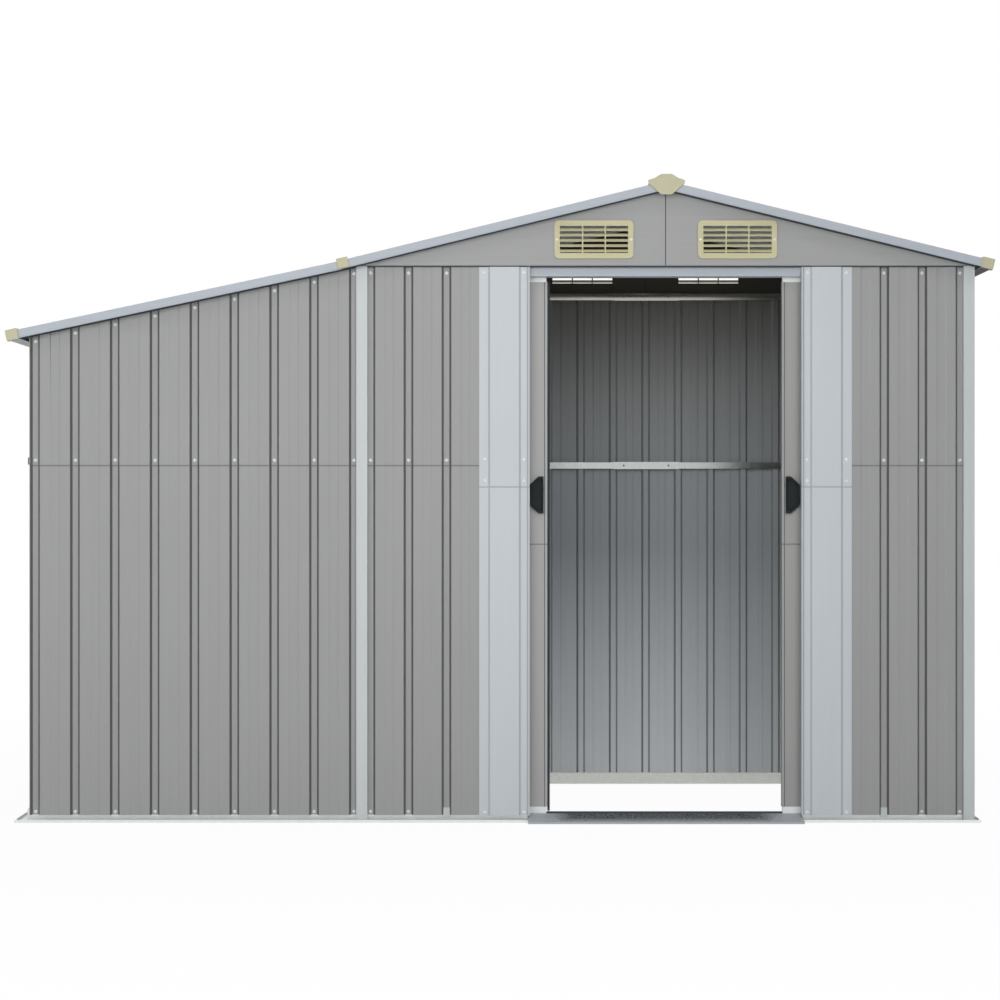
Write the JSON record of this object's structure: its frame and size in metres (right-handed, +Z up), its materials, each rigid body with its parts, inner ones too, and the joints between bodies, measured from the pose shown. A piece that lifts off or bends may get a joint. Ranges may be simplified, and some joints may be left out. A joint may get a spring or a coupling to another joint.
{
  "type": "storage shed",
  "caption": "Grey ribbed sheet-metal garden shed with a low gabled roof, sliding doors, louvred gable vents and a lean-to store bay that is open at its left end.",
  "frame": {"origin": "On the ground, under the middle of the roof's outline.", "axes": "+X to the right along the front, +Y from the front to the back, +Z up."},
  "size_m": [2.76, 1.105, 1.812],
  "materials": {
    "wall_grey": "satin",
    "roof_grey": "satin",
    "jamb_pale": "satin",
    "post_pale": "satin",
    "trim_blue": "satin",
    "rail_zinc": "satin",
    "cream_plastic": "matte",
    "door_taupe": "satin",
    "glider_white": "matte",
    "handle_black": "matte"
  },
  "bodies": {
    "shed": {"back_base_rail": "rail_zinc", "back_gable": "wall_grey", "back_mid_rails": "rail_zinc", "back_posts": "post_pale", "back_top_rails": "rail_zinc", "back_vents": "cream_plastic", "back_verge_trims": "trim_blue", "back_wall": "wall_grey", "corner_caps": "cream_plastic", "door_floor_track": "rail_zinc", "door_head_track": "trim_blue", "door_sill": "trim_blue", "eave_trims": "trim_blue", "front_base_rails": "rail_zinc", "front_gable": "wall_grey", "front_left_wall": "wall_grey", "front_mid_rails": "rail_zinc", "front_posts": "post_pale", "front_right_wall": "wall_grey", "front_vents": "cream_plastic", "front_verge_trims": "trim_blue", "joint_clips": "cream_plastic", "lean_to_back_wall": "wall_grey", "lean_to_base_rails": "rail_zinc", "lean_to_front_wall": "wall_grey", "lean_to_mid_rails": "rail_zinc", "lean_to_roof": "roof_grey", "lean_to_top_rails": "rail_zinc", "left_jamb_panel": "jamb_pale", "left_wall": "wall_grey", "main_left_roof": "roof_grey", "main_right_roof": "roof_grey", "ridge_beam": "rail_zinc", "ridge_cap": "roof_grey", "ridge_end_caps": "cream_plastic", "right_jamb_panel": "jamb_pale", "right_wall": "wall_grey", "side_base_rails": "rail_zinc", "side_mid_rails": "rail_zinc", "side_top_rails": "rail_zinc"},
    "left_door": {"left_door_gliders": "glider_white", "left_door_handle": "handle_black", "left_door_leaf": "door_taupe", "left_door_stiles": "door_taupe"},
    "right_door": {"right_door_gliders": "glider_white", "right_door_handle": "handle_black", "right_door_leaf": "door_taupe", "right_door_stiles": "door_taupe"}
  },
  "joints": [
    {"name": "left_door_slide", "type": "slide", "parent": "shed", "child": "left_door", "axis": [1, 0, 0], "range_m": [0, 0.326]},
    {"name": "right_door_slide", "type": "slide", "parent": "shed", "child": "right_door", "axis": [-1, 0, 0], "range_m": [0, 0.326]}
  ]
}
